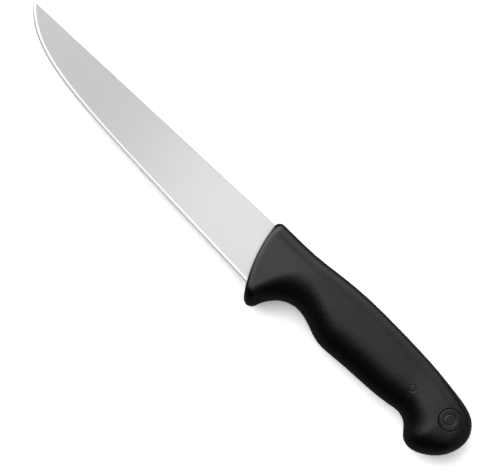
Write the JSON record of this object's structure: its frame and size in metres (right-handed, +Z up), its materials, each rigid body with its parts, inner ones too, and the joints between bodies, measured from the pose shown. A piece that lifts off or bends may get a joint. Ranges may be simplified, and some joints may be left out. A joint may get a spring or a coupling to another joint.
{
  "type": "boning knife",
  "caption": "Butcher's knife with a straight spine, a broad curved edge and a moulded handle with a finger guard and a hooked butt.",
  "frame": {"origin": "under the middle of the knife's bounding box, on the surface that the knife lies on", "axes": "the knife lies on its side: -X to the tip and +X to the butt, +Y to the spine side and -Y to the edge side, +Z up through the thickness"},
  "size_m": [0.3, 0.0429, 0.02],
  "materials": {
    "blade_steel": "fine satin, with a brighter ground bevel",
    "core_plastic": "hard moulded plastic",
    "grip_plastic": "black moulded plastic with a fine matt grain",
    "disc_plastic": "black moulded plastic, slightly smoother than the grip"
  },
  "bodies": {
    "root": {"blade": "blade_steel", "handle_core": "core_plastic", "handle_grip": "grip_plastic", "emblem_disc": "disc_plastic"}
  },
  "joints": []
}
